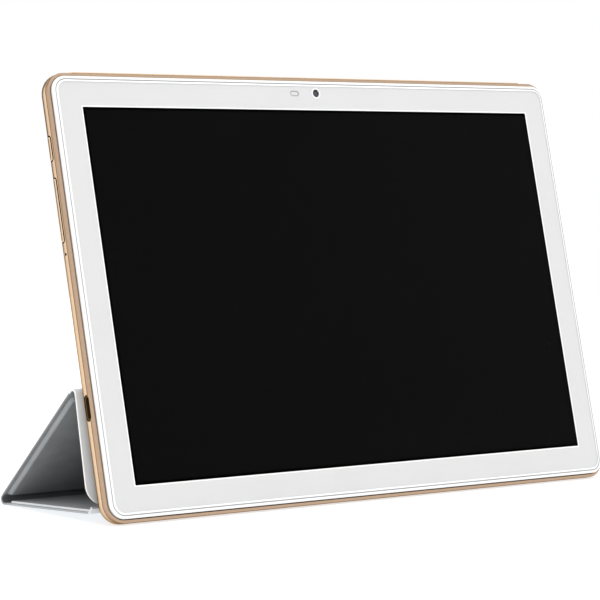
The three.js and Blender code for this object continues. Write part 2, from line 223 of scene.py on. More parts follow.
def outline(half_x, half_y, z, near, far=None, middle=(0, 0), steps=CORNER_STEPS):
    """A rounded rectangle at height z, with a radius for its near and for its far corners."""
    far = near if far is None else far
    points = []
    for quarter, (sx, sy) in enumerate([(1, 1), (-1, 1), (-1, -1), (1, -1)]):
        radius = far if sy > 0 else near
        cx = middle[0] + sx * (half_x - radius)
        cy = middle[1] + sy * (half_y - radius)
        for step in range(steps + 1):
            angle = (quarter + step / steps) * math.pi / 2
            points.append((cx + radius * math.cos(angle), cy + radius * math.sin(angle), z))
    return points


def circle(middle, radius, z, steps=48):
    return [(middle[0] + radius * math.cos(2 * math.pi * i / steps),
             middle[1] + radius * math.sin(2 * math.pi * i / steps), z) for i in range(steps)]


def pill(half_length, half_thickness, depth, middle, steps=16):
    """A round-ended slot's outline at one depth, as (length, thickness, depth)."""
    straight = half_length - half_thickness
    points = []
    for end in (1, -1):
        for step in range(steps + 1):
            angle = (step / steps - 0.5) * math.pi
            length = end * (straight + half_thickness * math.cos(angle))
            points.append((middle[0] + length, middle[1] + end * half_thickness * math.sin(angle),
                           depth))
    return points


def loft(name, loops, materials=(), closed=False, paint=None):
    """A surface through loops of points, shut by flat caps or on itself.

    paint gives the material number of a band between two loops and of a side of the loops;
    the caps are the bands -1, at the first loop, and -2, at the last.
    """
    count = len(loops[0])
    mesh = bpy.data.meshes.new(name)
    faces, numbers = [], []
    paint = paint or (lambda band, side: 0)
    for band in range(len(loops) if closed else len(loops) - 1):
        low, high = band * count, (band + 1) % len(loops) * count
        for side in range(count):
            after = (side + 1) % count
            faces.append((low + side, low + after, high + after, high + side))
            numbers.append(paint(band, side))
    if not closed:
        faces.append(tuple(reversed(range(count))))
        numbers.append(paint(-1, 0))
        faces.append(tuple(range((len(loops) - 1) * count, len(loops) * count)))
        numbers.append(paint(-2, 0))
    mesh.from_pydata([point for loop in loops for point in loop], [], faces)
    for face, number in zip(mesh.polygons, numbers):
        face.material_index = number
    for material in materials:
        mesh.materials.append(material)
    work = bmesh.new()
    work.from_mesh(mesh)
    bmesh.ops.recalc_face_normals(work, faces=work.faces)
    work.to_mesh(mesh)
    work.free()
    piece = bpy.data.objects.new(name, mesh)
    bpy.context.scene.collection.objects.link(piece)
    return piece


def carve(piece, cutters):
    """Cuts the cutters out of the piece and removes them."""
    group = bpy.data.collections.new("cutters")
    for cutter in cutters:
        group.objects.link(cutter)
    cut = piece.modifiers.new("cut", "BOOLEAN")
    cut.operation = "DIFFERENCE"
    cut.solver = "EXACT"
    cut.operand_type = "COLLECTION"
    cut.collection = group
    bpy.context.view_layer.update()
    seen = piece.evaluated_get(bpy.context.evaluated_depsgraph_get())
    whole = bpy.data.meshes.new_from_object(seen)
    piece.modifiers.clear()
    piece.data = whole
    for cutter in cutters:
        bpy.data.objects.remove(cutter)
    bpy.data.collections.remove(group)


SHARP = math.radians(38)


def finish_piece(piece, place, slot_name):
    """Puts a piece in the part's frame and shades its rounded edges smoothly."""
    piece.data.transform(place)
    for face in piece.data.polygons:
        face.use_smooth = True
    piece.data.set_sharp_from_angle(angle=SHARP)
    normals = piece.modifiers.new("normals", "WEIGHTED_NORMAL")
    normals.keep_sharp = True
    normals.weight = 100
    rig.slot(piece, slot_name)


def dress(piece, place, body, slot_name, *nodes):
    """Places a piece on a body, in the stead of the CAD nodes that it shows in detail."""
    finish_piece(piece, place, slot_name)
    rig.ride(piece, body)
    if nodes:
        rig.replaces(piece, *nodes)


# ---- material tools ----
def new_material(name, roughness, metallic=0.0, level=0.5):
    made = bpy.data.materials.new(name)
    made.use_nodes = True
    shader = made.node_tree.nodes["Principled BSDF"]
    shader.inputs["Roughness"].default_value = roughness
    shader.inputs["Metallic"].default_value = metallic
    shader.inputs["Specular IOR Level"].default_value = level
    return made, shader


def texture(made, kind, scale, stretch=(1, 1, 1), **settings):
    """A solid texture in the piece's own metres; scale is its repeats to a metre."""
    nodes, links = made.node_tree.nodes, made.node_tree.links
    place = nodes.new("ShaderNodeTexCoord")
    mapping = nodes.new("ShaderNodeMapping")
    mapping.inputs["Scale"].default_value = stretch
    made_texture = nodes.new(kind)
    made_texture.inputs["Scale"].default_value = scale
    for name, value in settings.items():
        made_texture.inputs[name].default_value = value
    links.new(place.outputs["Object"], mapping.inputs["Vector"])
    links.new(mapping.outputs["Vector"], made_texture.inputs["Vector"])
    return made_texture


def noise(made, scale, detail=3.0, stretch=(1, 1, 1)):
    return texture(made, "ShaderNodeTexNoise", scale, stretch, Detail=detail).outputs["Fac"]


def cells(made, scale, stretch=(1, 1, 1)):
    return texture(made, "ShaderNodeTexVoronoi", scale, stretch).outputs["Distance"]


def ranged(made, factor, low, high, start=0.3, end=0.7):
    """The factor's stretch from start to end, turned into values from low to high."""
    spread = made.node_tree.nodes.new("ShaderNodeMapRange")
    spread.inputs["From Min"].default_value = start
    spread.inputs["From Max"].default_value = end
    spread.inputs["To Min"].default_value = low
    spread.inputs["To Max"].default_value = high
    made.node_tree.links.new(factor, spread.inputs["Value"])
    return spread.outputs["Result"]


def tinted(made, factor, first, second):
    """A colour between two colours, by the factor from its 0.3 to its 0.7."""
    mix = made.node_tree.nodes.new("ShaderNodeMix")
    mix.data_type = "RGBA"
    mix.inputs["A"].default_value = (*first, 1)
    mix.inputs["B"].default_value = (*second, 1)
    made.node_tree.links.new(ranged(made, factor, 0, 1), mix.inputs["Factor"])
    return mix.outputs["Result"]


def bumped(made, shader, height, depth, strength=1.0):
    """Relief of that depth in metres."""
    bump = made.node_tree.nodes.new("ShaderNodeBump")
    bump.inputs["Strength"].default_value = strength
    bump.inputs["Distance"].default_value = depth
    made.node_tree.links.new(height, bump.inputs["Height"])
    made.node_tree.links.new(bump.outputs["Normal"], shader.inputs["Normal"])


def shade(name, first, second, roughness, scale, metallic=0.0, level=0.5, relief=0.0,
          relief_scale=None, spread=0.06):
    """A mottled material: two near colours, uneven gloss and a fine relief."""
    made, shader = new_material(name, roughness, metallic, level)
    links = made.node_tree.links
    links.new(tinted(made, noise(made, scale), first, second), shader.inputs["Base Color"])
    gloss = ranged(made, noise(made, scale * 2.3), roughness - spread, roughness + spread)
    links.new(gloss, shader.inputs["Roughness"])
    if relief:
        bumped(made, shader, noise(made, relief_scale or scale * 4), relief)
    return made


# ---- materials ----
GOLD_EDGE_TINT = (0.30, 0.22, 0.13, 1)             # of the metal seen at a grazing angle


def anodised(name, first, second, roughness):
    """Bead-blasted and anodised aluminium: a fine even grain that catches the light."""
    made = shade(name, first, second, roughness, 900, metallic=1.0, relief=0.000012,
                 relief_scale=5200, spread=0.04)
    shader = made.node_tree.nodes["Principled BSDF"]
    shader.inputs["Specular Tint"].default_value = GOLD_EDGE_TINT
    return made


def leather(name, first, second, roughness, depth):
    """Split leather pattern: small pebbles with creases between them, and soft mottling."""
    made, shader = new_material(name, roughness, level=0.4)
    links = made.node_tree.links
    links.new(tinted(made, noise(made, 160, 4), first, second), shader.inputs["Base Color"])
    pebbles = cells(made, 1700)
    worn = ranged(made, pebbles, roughness - 0.08, roughness + 0.1, 0.0, 0.6)
    links.new(worn, shader.inputs["Roughness"])
    bumped(made, shader, pebbles, depth, 0.5)
    shader.inputs["Sheen Weight"].default_value = 0.08
    return made


def clear_glass():
    made, shader = new_material("clear_glass", 0.04, level=0.1)
    smear = tinted(made, noise(made, 40), (0.002, 0.002, 0.0025), (0.003, 0.003, 0.003))
    made.node_tree.links.new(smear, shader.inputs["Base Color"])
    shader.inputs["Alpha"].default_value = 0.01
    return made


def coated_lens():
    """Dark glass with the violet and blue of an anti-reflection coating."""
    made, shader = new_material("coated_lens", 0.05)
    swirl = tinted(made, noise(made, 500), (0.004, 0.006, 0.02), (0.01, 0.012, 0.035))
    made.node_tree.links.new(swirl, shader.inputs["Base Color"])
    shader.inputs["Coat Weight"].default_value = 1.0
    shader.inputs["Coat Roughness"].default_value = 0.03
    return made


GOLD = anodised("gold_anodised", (0.79, 0.58, 0.40), (0.83, 0.62, 0.44), 0.24)
GOLD_LIP = anodised("gold_lip", (0.48, 0.345, 0.24), (0.52, 0.375, 0.27), 0.36)
SHADOWED = anodised("gold_shadowed", (0.06, 0.04, 0.02), (0.09, 0.06, 0.03), 0.6)
# Painted shade: a darker gold on the shallow crease of the casing's side, for the dark band that shade lays there.
GOLD_CREASE_SHADE = anodised("gold_crease_shade", (0.32, 0.21, 0.115), (0.36, 0.24, 0.14), 0.40)
WHITE_RING = shade("white_moulded", (0.84, 0.84, 0.85), (0.88, 0.88, 0.88), 0.30, 120,
                   relief=0.000006, relief_scale=2500)
PRINT = shade("white_print", (0.665, 0.665, 0.665), (0.68, 0.68, 0.68), 0.35, 60, level=0.25)
BOND = shade("bond_line", (0.25, 0.255, 0.265), (0.29, 0.295, 0.305), 0.5, 300)
# Painted highlight: a brighter white round the display window and the front camera's hole.
PRINT_EDGE_HIGHLIGHT = shade("white_print_edge_highlight", (0.92, 0.92, 0.92), (0.96, 0.96, 0.96), 0.4, 200)
# Painted highlight: the glass's rim is near white all round, as its bevel looks where it catches the light.
RIM_HIGHLIGHT = shade("glass_rim_highlight", (0.90, 0.91, 0.92), (0.96, 0.97, 0.97), 0.22, 400,
                   relief=0.000004, relief_scale=4000)
CLEAR = clear_glass()
ACTIVE = shade("display_active", (0.0014, 0.0014, 0.0014), (0.0017, 0.0017, 0.0017), 0.14, 30,
               level=0.03)
MASK = shade("display_mask", (0.0001, 0.0001, 0.0001), (0.0002, 0.0002, 0.0002), 0.4, 30,
             level=0.0)
LENS = coated_lens()
SENSOR = shade("sensor_window", (0.62, 0.62, 0.64), (0.70, 0.70, 0.71), 0.2, 700)
SENSOR_EDGE = shade("sensor_edge", (0.30, 0.30, 0.31), (0.40, 0.40, 0.41), 0.4, 900)
BLACK = shade("black_moulded", (0.010, 0.010, 0.010), (0.018, 0.018, 0.018), 0.5, 600,
              relief=0.00001)
STEEL = shade("stamped_steel", (0.52, 0.53, 0.55), (0.62, 0.63, 0.65), 0.32, 700, metallic=1.0,
              relief=0.000008)
FOIL = shade("reflector_foil", (0.70, 0.70, 0.69), (0.80, 0.80, 0.79), 0.4, 300, metallic=0.8)
BOARD_GREEN = shade("solder_mask", (0.010, 0.11, 0.05), (0.02, 0.16, 0.08), 0.4, 900,
                    relief=0.00002)
AMBER = shade("polyimide", (0.42, 0.17, 0.04), (0.52, 0.24, 0.07), 0.35, 800)
# Painted shade: the port's shell is a dark brownish steel that stands in for the shade inside the port.
PORT_STEEL_SHADE = shade("port_steel_shade", (0.11, 0.07, 0.02), (0.15, 0.10, 0.03), 0.42, 900,
                   metallic=0.6)
BATTERY = shade("battery_pouch", (0.025, 0.025, 0.028), (0.04, 0.04, 0.045), 0.5, 260,
                relief=0.00004)
LED = shade("led_diffuser", (0.88, 0.82, 0.58), (0.95, 0.90, 0.70), 0.35, 900, relief=0.00001)
LEATHER = leather("cover_leather", (0.62, 0.68, 0.735), (0.67, 0.73, 0.785), 0.62, 0.00006)
LEATHER_EDGE = leather("cover_leather_edge", (0.36, 0.38, 0.39), (0.42, 0.44, 0.45), 0.7, 0.00005)
LINING = leather("cover_lining", (0.235, 0.247, 0.255), (0.285, 0.297, 0.305), 0.75, 0.00004)
# Painted highlight: the boards' bevels on the rear panel and flap, lighter than the lining, as lit edges.
LINING_BEVEL_HIGHLIGHT = leather("cover_lining_bevel_highlight", (0.32, 0.335, 0.345), (0.37, 0.385, 0.395), 0.7,
                       0.00004)
# Painted shade: a darker lining on the inner face of the rear fold, where the fold's crease lies in shade.
LINING_FOLD_SHADE = leather("cover_lining_fold_shade", (0.10, 0.105, 0.11), (0.14, 0.147, 0.153), 0.85,
                      0.00003)
# Painted highlight: the base board's bevel and the spine's edges, much lighter, as lit from above.
BASE_BEVEL_HIGHLIGHT = leather("cover_base_bevel_highlight", (0.68, 0.70, 0.72), (0.74, 0.76, 0.78), 0.62, 0.00005)
# Painted highlight: the cut edges of the flap and the top fold, near white, as lit edges.
CUT_EDGE_HIGHLIGHT = shade("cover_cut_edge_highlight", (0.84, 0.85, 0.86), (0.92, 0.92, 0.93), 0.6, 500,
                 relief=0.00003)
MAGNET = shade("nickel_plate", (0.60, 0.60, 0.60), (0.72, 0.72, 0.73), 0.2, 500, metallic=1.0)

NODE_MATERIALS = {
    FOIL: ["backlight_tray"],
    STEEL: ["support_plate", "processor_shield", "memory_shield", "radio_shield",
            "vibration_motor", "microphone"]
    + [f"screw_{number}" for number in range(1, 9)],
    PORT_STEEL_SHADE: ["usb_port_shell"],
    AMBER: ["display_flex", "wifi_antenna", "side_key_board"],
    BOARD_GREEN: ["main_board", "battery_board"],
    BATTERY: ["battery_left", "battery_right"],
    BLACK: ["speaker_left", "speaker_right", "headphone_jack", "usb_port_tongue",
            "front_camera_module", "light_sensor", "rear_camera_module", "power_switch",
            "volume_up_switch", "volume_down_switch"],
    MAGNET: ["flap_magnet_1", "flap_magnet_2"],
}


def paint_cad_nodes():
    for material, names in NODE_MATERIALS.items():
        for name in names:
            for held in frame["nodes"][name].material_slots:
                held.material = material


# ---- casing ----
SECTION_STEPS = 10
ALONG_WALL = 0.3                                  # a slot's wall faces less than this along x
# A loft along z is turned so that its length runs along y or x and its depth along x or y.
LEFT_WALL = Matrix(((0, 0, 1, 0), (1, 0, 0, 0), (0, 1, 0, 0), (0, 0, 0, 1)))
LOWER_WALL = Matrix(((1, 0, 0, 0), (0, 0, 1, 0), (0, 1, 0, 0), (0, 0, 0, 1)))


def case_loop(inset, z):
    return outline(TABLET["half_width"] - inset, TABLET["half_height"] - inset, z,
                   max(TABLET["corner"] - inset, 0.4))


def side_arc(start, edge, rise, top):
    """Insets and heights of the quarter round from the casing's side to its back."""
    turns = [step / SECTION_STEPS * math.pi / 2 for step in range(SECTION_STEPS + 1)]
    return [(start + edge * (1 - math.cos(turn)), top - rise * math.sin(turn)) for turn in turns]


def wall_cutter(name, turn, sections):
    """A slot's cutter through a wall: sections are (half length, half thickness, depth)."""
    def build(middle):
        loops = [pill(length, thickness, depth, middle) for length, thickness, depth in sections]
        cutter = loft(name, loops)
        cutter.data.transform(turn)
        return cutter
    return build


def flared(half_length, half_thickness, wall, reach, lip):
    """A slot through the wall whose mouth opens by a small lip."""
    side = 1 if reach > wall else -1
    return [(half_length + lip, half_thickness + lip, wall - side * 3),
            (half_length + lip, half_thickness + lip, wall),
            (half_length, half_thickness, wall + side * lip),
            (half_length, half_thickness, reach)]


def case_cutters():
    left, low = -TABLET["half_width"], -TABLET["half_height"]
    deep = left + 9
    cutters = [
        wall_cutter("port", LEFT_WALL, flared(PORT["half_length"], PORT["half_thickness"],
                                              left, deep, 0.25))((PORT["y"], PORT["z"])),
        wall_cutter("reset", LEFT_WALL, flared(0.55, 0.5, left, deep, 0.1))((15.55, PORT["z"])),
        wall_cutter("jack", LOWER_WALL, flared(JACK["radius"] + 0.01, JACK["radius"], low, low + 5,
                                               0.3))((JACK["x"], JACK["z"])),
        wall_cutter("microphone", LOWER_WALL, flared(0.55, 0.5, low, low + 5, 0.1))((-19, -3.2)),
    ]
    for key in (POWER_KEY, VOLUME_KEY):
        room = wall_cutter("key", LEFT_WALL, flared(key["half_length"] + KEY_ROOM["end_gap"],
                                                    KEY_ROOM["half_thickness"], left, deep, 0.12))
        cutters.append(room((key["y"], KEYS["z"] + KEY_ROOM["offset"])))
    for side in (-1, 1):
        for slot in range(-4, 5):
            hole = wall_cutter("speaker_hole", LOWER_WALL, flared(0.66, 0.65, low, low + 5, 0.12))
            cutters.append(hole((side * SPEAKER_X + slot * SPEAKER_PITCH, JACK["z"])))
    cutters.append(loft("camera", [circle(REAR_CAMERA, 5.2, z) for z in (-12, -7)]))
    cutters.append(loft("flash", [circle(FLASH, 1.8, z, 32) for z in (-12, -7)]))
    return cutters


def lines_key_room(face):
    """Whether a face is part of the wall of the slot round a key."""
    end_reach = KEY_ROOM["end_gap"] + KEY_ROOM["wall_slack"]
    middle = face.center
    inside_case = middle.x < KEYS["inner"] + KEY_ROOM["depth"]
    beside_key = abs(middle.z - KEYS["z"]) < KEY_ROOM["wall_reach"] and any(
        abs(middle.y - key["y"]) < key["half_length"] + end_reach
        for key in (POWER_KEY, VOLUME_KEY))
    return inside_case and beside_key and abs(face.normal.x) < ALONG_WALL


def make_case():
    """The rear shell: a lip at the front, a flat side and a quarter round to the flat back."""
    inside = side_arc(SIDE["wall"], SIDE["edge"] - SIDE["wall"], 3.9, -4.2)[::-1]
    lip = [(SIDE["wall"], -1.85), (1.05, SIDE["front"]), (0.35, SIDE["front"]), (0.12, -1.58),
           (0.02, -1.75), (0.0, -1.95), (0.0, -2.9)]
    crease = [(0.13, -3.0), (0.13, -3.32), (0.0, -3.42)]
    outside = side_arc(0, SIDE["edge"], SIDE["low"] - TABLET["back"], SIDE["low"])
    profile = inside + lip + crease + outside
    lip_start, crease_start = len(inside) - 1, len(inside) + len(lip) - 1
    crease_end = crease_start + len(crease)

    # The crease bands take the darker gold of painted shade.
    def paint(band, side):
        if lip_start <= band < crease_start:
            return 1
        return 2 if crease_start <= band < crease_end else 0

    case = loft("case_shell", [case_loop(*point) for point in profile],
                (GOLD, GOLD_LIP, GOLD_CREASE_SHADE, SHADOWED), paint=paint)
    carve(case, case_cutters())
    for face in case.data.polygons:
        if lines_key_room(face):
            face.material_index = 3
    dress(case, SCREEN, "tablet", "casing", "rear_cover")


def make_ring():
    """The white ring between glass and casing, with a rounded lip."""
    width, height, corner = RING["half_width"], RING["half_height"], RING["corner"]
    front = RING["front"]
    rim = 0.45
    lip = [(0.5, RING["back"]), (0.5, -1.2), (0.0, -1.15), (0.0, front - rim)]
    for step in range(1, 5):
        turn = step / 5 * math.pi / 2
        lip.append((rim * (1 - math.cos(turn)), front - rim * (1 - math.sin(turn))))
    lip.append((rim, front))
    loops = [outline(width - inset, height - inset, z, corner - inset) for inset, z in lip]
    gap = 0.3
    pocket = (GLASS["half_width"] + gap, GLASS["half_height"] + gap, GLASS["corner"] + gap)
    loops += [outline(pocket[0], pocket[1], z, pocket[2]) for z in (front - 0.05, -1.8)]
    loops += [outline(112.6, 71.6, z, 1.0) for z in (-1.8, RING["back"])]
    ring = loft("glass_ring", loops, (WHITE_RING,), closed=True)
    rooms = [((-118.5, PORT["y"]), 6.5, 5, -10, -2.5), ((JACK["x"], -78), 3.4, 12, -10, -2.8),
             ((-4.85, 74.5), 9.65, 3.5, -10, -1.0)]
    carve(ring, [loft("room", [outline(half_x, half_y, z, 0.4, middle=middle, steps=2)
                               for z in (low, high)])
                 for middle, half_x, half_y, low, high in rooms])
    dress(ring, SCREEN, "tablet", "white_plastic", "mid_frame")


def make_gasket():
    """The grey bond line that shows between the glass and its ring."""
    section = [(0.03, -1.7), (0.27, -1.7), (0.27, -0.22), (0.15, -0.19), (0.03, -0.22)]
    loops = [outline(GLASS["half_width"] + gap, GLASS["half_height"] + gap, z,
                     GLASS["corner"] + gap) for gap, z in section]
    dress(loft("glass_gasket", loops, (BOND,), closed=True), SCREEN, "tablet", "white_plastic")


# ---- front ----
RIM = 0.75                                        # width of the glass's rim, painted white as a highlight
TUCK = 0.5                                        # the border runs in under the rim to here


def make_glass():
    """A clear front sheet whose rim turns down round the printed border; the rim is painted near white as a highlight.
    """
    def loop(inset, z):
        return outline(GLASS["half_width"] - inset, GLASS["half_height"] - inset, z,
                       GLASS["corner"] - inset)
    back = -GLASS["thickness"]
    profile = [(RIM, 0), (0.3, -0.06), (0.08, -0.16), (0, -0.32), (0, back + 0.1), (0.1, back),
               (TUCK - 0.1, back), (TUCK - 0.1, -0.15), (RIM, -0.15)]
    glass = loft("front_glass", [loop(*point) for point in profile], (CLEAR, RIM_HIGHLIGHT),
                 paint=lambda band, side: int(band >= 0))
    dress(glass, SCREEN, "tablet", "glass", "cover_glass")


def make_border():
    """The white print behind the glass, with its window and the openings for the optics."""
    width, height = GLASS["half_width"] - TUCK, GLASS["half_height"] - TUCK
    front, back = -0.2, -1.0
    window = 0.55                                 # width of the painted highlight round the display
    loops = [outline(width, height, back, 4.0), outline(width, height, front, 4.0)]
    loops += [outline(SCREEN_HALF[0] + inset, SCREEN_HALF[1] + inset, z, 0.35)
              for inset, z in ((window, front), (0.05, front - 0.06), (0.05, back))]
    border = loft("printed_border", loops, (PRINT, PRINT_EDGE_HIGHLIGHT), closed=True,
                  paint=lambda band, side: int(band in (2, 3)))
    carve(border, [
        loft("camera_hole", [circle(FRONT_CAMERA, 1.5, z) for z in (-3, 3)]),
        loft("sensor_hole", [pill(2.1, 1.05, z, LIGHT_SENSOR) for z in (-3, 3)]),
    ])
    dress(border, SCREEN, "tablet", "white_print", "bezel_mask")


def make_display():
    """The display: an active area inside a thin black mask, on a wider black panel."""
    mask = 0.9
    half_x, half_y = SCREEN_HALF
    loops = [outline(110.5, 69.8, -2.6, 0.5), outline(110.5, 69.8, -1.15, 0.5),
             outline(half_x, half_y, -1.15, 0.3), outline(half_x, half_y, -0.32, 0.3),
             outline(half_x - 0.04, half_y - 0.04, -0.28, 0.3),
             outline(half_x - mask, half_y - mask, -0.28, 0.2),
             outline(half_x - mask - 0.02, half_y - mask - 0.02, -0.285, 0.2)]
    display = loft("display", loops, (MASK, ACTIVE), paint=lambda band, side: int(band == -2))
    dress(display, SCREEN, "tablet", "screen", "display_panel")


def lathe(name, middle, profile, materials, paint=None, closed=False, steps=48):
    loops = [circle(middle, radius, z, steps) for radius, z in profile]
    return loft(name, loops, materials, closed, paint)


def dome(radius, base, height, steps=6):
    """Radii and heights of a shallow lens from its rim to near its top."""
    turns = [step / steps * math.pi / 2 for step in range(steps)]
    return [(radius * math.cos(turn), base + height * math.sin(turn)) for turn in turns]


def make_front_optics():
    profile = [(1.4, -1.9), (1.4, -0.36), (1.3, -0.3), (1.12, -0.3), (1.0, -0.5), (0.9, -0.56)]
    eye = lathe("front_camera_eye", FRONT_CAMERA, profile + dome(0.85, -0.52, 0.14),
                (BLACK, LENS), lambda band, side: int(band >= 5 or band == -2))
    dress(eye, SCREEN, "tablet", "lens", "front_camera_lens")
    # A painted highlight: a bright ring round the camera hole.
    halo = lathe("front_camera_halo", FRONT_CAMERA,
                 [(1.52, -0.19), (1.52, -0.15), (2.15, -0.15), (2.15, -0.19)],
                 (PRINT_EDGE_HIGHLIGHT,), closed=True)
    dress(halo, SCREEN, "tablet", "white_print")
    rim = loft("light_sensor_rim", [pill(2.1 - inset, 1.05 - inset, z, LIGHT_SENSOR)
                                    for inset, z in ((0.02, -1.0), (0.02, -0.2), (0.12, -0.16),
                                                     (0.3, -0.2), (0.3, -1.0))],
               (SENSOR_EDGE,), closed=True)
    dress(rim, SCREEN, "tablet", "sensor")
    window = loft("light_sensor_window", [pill(1.75 - inset, 0.7 - inset, z, LIGHT_SENSOR)
                                          for inset, z in ((0, -1.8), (0, -0.32), (0.1, -0.25))],
                  (SENSOR,))
    dress(window, SCREEN, "tablet", "sensor", "sensor_window")


def make_rear_optics():
    ring = [(4.9, -7.2), (4.9, -9.7), (4.75, -9.9), (4.5, -10.0), (4.0, -10.0), (3.75, -9.85),
            (3.7, -7.2)]
    dress(lathe("rear_camera_bezel", REAR_CAMERA, ring, (GOLD,), closed=True), SCREEN, "tablet",
          "casing", "rear_camera_ring")
    glass = [(3.4, -8.9), (3.4, -9.55), (3.2, -9.7), (2.3, -9.7), (2.2, -9.62), (1.75, -9.5),
             (1.7, -9.4)]
    glass += [(radius, z) for radius, z in dome(1.6, -9.42, -0.22)]
    dress(lathe("rear_camera_eye", REAR_CAMERA, glass, (BLACK, LENS),
                lambda band, side: int(band >= 6 or band == -2)), SCREEN, "tablet", "lens",
          "rear_camera_lens")
    flash = [(1.5, -7.4), (1.5, -9.12)] + dome(1.45, -9.15, -0.15)
    dress(lathe("flash_window", FLASH, flash, (LED,)), SCREEN, "tablet", "led", "flash_led")


# ---- keys and trim ----
def make_key(name, key, body, node):
    """A round-ended key with softened edges, whose top follows the casing's round side."""
    sections = [(0.0, KEYS["inner"]), (0.0, KEYS["outer"] + 0.4), (0.06, KEYS["outer"] + 0.2),
                (0.2, KEYS["outer"] + 0.06), (0.42, KEYS["outer"])]
    loops = [pill(key["half_length"] - inset, KEYS["half_thickness"] - inset, x,
                  (key["y"], KEYS["z"])) for inset, x in sections]
    cap = loft(name, loops, (GOLD,))
    cap.data.transform(LEFT_WALL)
    rise = SIDE["low"] - TABLET["back"]
    for vertex in cap.data.vertices:
        share = (SIDE["low"] - vertex.co.z) / rise
        vertex.co.x += SIDE["edge"] * (1 - math.sqrt(1 - share * share))
    dress(cap, SCREEN, body, "casing", node)


def make_top_strip():
    """The raised antenna strip along the top edge."""
    sections = [(0.0, 80.8), (0.0, 81.0), (0.08, 81.14), (0.3, 81.2)]
    loops = [outline(110 - inset, 1.4 - inset, y, 0.7 - inset / 2, middle=(0, -4.0), steps=6)
             for inset, y in sections]
    strip = loft("top_strip", loops, (GOLD,))
    strip.data.transform(LOWER_WALL)
    dress(strip, SCREEN, "tablet", "casing", "top_antenna_strip")


# ---- cover ----
def panel_loop(start, end, side, near, far, v, near_corner, far_corner):
    """A panel's outline inset from its sides and from its near and far ends."""
    length = end - far - start - near
    middle = (0, start + near + length / 2)
    return outline(COVER_HALF - side, length / 2, v, near_corner, far_corner, middle)


def make_panel(name, place, body, span, heights, margins, bevel, finishes, nodes):
    """Leather skin with a padded board on its inner side.

    span is where the panel starts and ends, and heights are those of its outer face and of the
    board's face. margins are the board's distances from the sides, the near and the far end.
    finishes are for the outer face, the cut edge, the inner margin, the bevel and the board.
    """
    start, end = span
    low, face = heights
    high = low + SKIN
    side, near, far = margins
    free_end = end == FLAP_LENGTH
    corner = COVER_CORNER if free_end else 0.4
    board_corner = 3.2 if free_end else 1.2
    loops = []
    for inset, v in ((0.3, low), (0.08, low + 0.1), (0.0, low + 0.35), (0.08, high - 0.1),
                     (0.3, high)):
        trim = inset if free_end else 0.0
        loops.append(panel_loop(start, end, inset, 0.0, trim, v, 0.4, corner - trim))
    edge_bands = len(loops) - 1
    for run, share in ((0.0, 0.0), (0.1, 0.3), (0.38, 0.75), (0.7, 0.95), (1.0, 1.0)):
        back = bevel * (1 - run)
        loops.append(panel_loop(start, end, side - back, near - back, far - back,
                                high + share * (face - high), 0.8, board_corner + back))

    def paint(band, side_number):
        if band < 0:
            return 0 if band == -1 else 4
        if band < edge_bands:
            return 1
        return 2 if band == edge_bands else 3

    panel = loft(name, loops, finishes, paint=paint)
    dress(panel, place, body, "cover_leather", *nodes)


def leather_strip(name, stations, edge, inner):
    """A band of skin through stations, each a middle point in metres and its outer normal."""
    half = SKIN / 2
    loops = []
    for middle, normal in stations:
        loop = []
        for x, depth in ((-1, -0.6), (-1, 0.6), (-0.9988, 1), (0.9988, 1), (1, 0.6), (1, -0.6),
                         (0.9988, -1), (-0.9988, -1)):
            point = middle + normal * depth * half * MM
            loop.append((x * COVER_HALF * MM, point.y, point.z))
        loops.append(loop)
    sides = {0: 1, 1: 1, 2: 0, 3: 1, 4: 1, 5: 1, 6: 2, 7: 1}
    strip = loft(name, loops, (LEATHER, edge, inner),
                 paint=lambda band, side: sides[side] if band >= 0 else 1)
    finish_piece(strip, Matrix.Identity(4), "cover_leather")
    return strip


def fold_stations(pivot, first, last, steps=16):
    """Stations of a skin that turns round a fold from one panel to the next."""
    radius = SKIN_MIDDLE * MM
    start = -first.to_3x3().col[2].normalized()
    end = -last.to_3x3().col[2].normalized()
    start_along = first.to_3x3().col[1].normalized()
    end_along = last.to_3x3().col[1].normalized()
    stations = [(pivot + start * radius - start_along * FOLD_REACH * MM, start)]
    turn = start.angle(end)
    for step in range(steps + 1):
        share = step / steps
        normal = (start * math.sin((1 - share) * turn) + end * math.sin(share * turn)).normalized()
        stations.append((pivot + normal * radius, normal))
    stations.append((pivot + end * radius + end_along * FOLD_REACH * MM, end))
    return stations


def curve_stations(start, start_way, end, end_way, steps=14):
    """Stations along a smooth curve that leaves and arrives in the given directions."""
    stations = []
    handles = (start, start + start_way, end - end_way, end)
    for step in range(steps + 1):
        t = step / steps
        weights = ((1 - t) ** 3, 3 * t * (1 - t) ** 2, 3 * t * t * (1 - t), t ** 3)
        slopes = (-3 * (1 - t) ** 2, 3 * (1 - t) ** 2 - 6 * t * (1 - t),
                  6 * t * (1 - t) - 3 * t * t, 3 * t * t)
        point = sum((weight * handle for weight, handle in zip(weights, handles)), Vector())
        way = sum((slope * handle for slope, handle in zip(slopes, handles)), Vector())
        stations.append((point, way.normalized().cross(ACROSS)))
    return stations


FOLD_REACH = 1.2                                  # a fold's skin runs on this far on each panel
SPINE_REACH = 1.0                                 # and the spine's skin on the base panel
SPINE_EASE = 1.4                                  # how far the spine runs straight at its ends
MOUNT_HALF = 114
MOUNT_NEAR, MOUNT_FAR, MOUNT_END = -9.4, -10.2, -73.8
BASE_MARGINS = (1.6, 0.4, 1.0)                    # of the board from the sides, near, far end
REAR_MARGINS = (2.8, 1.2, 2.6)
FLAP_MARGINS = (2.8, 3.2, 3.6)
BASE_BEVEL_WIDTH = 0.3
BEVEL_WIDTH = 1.2


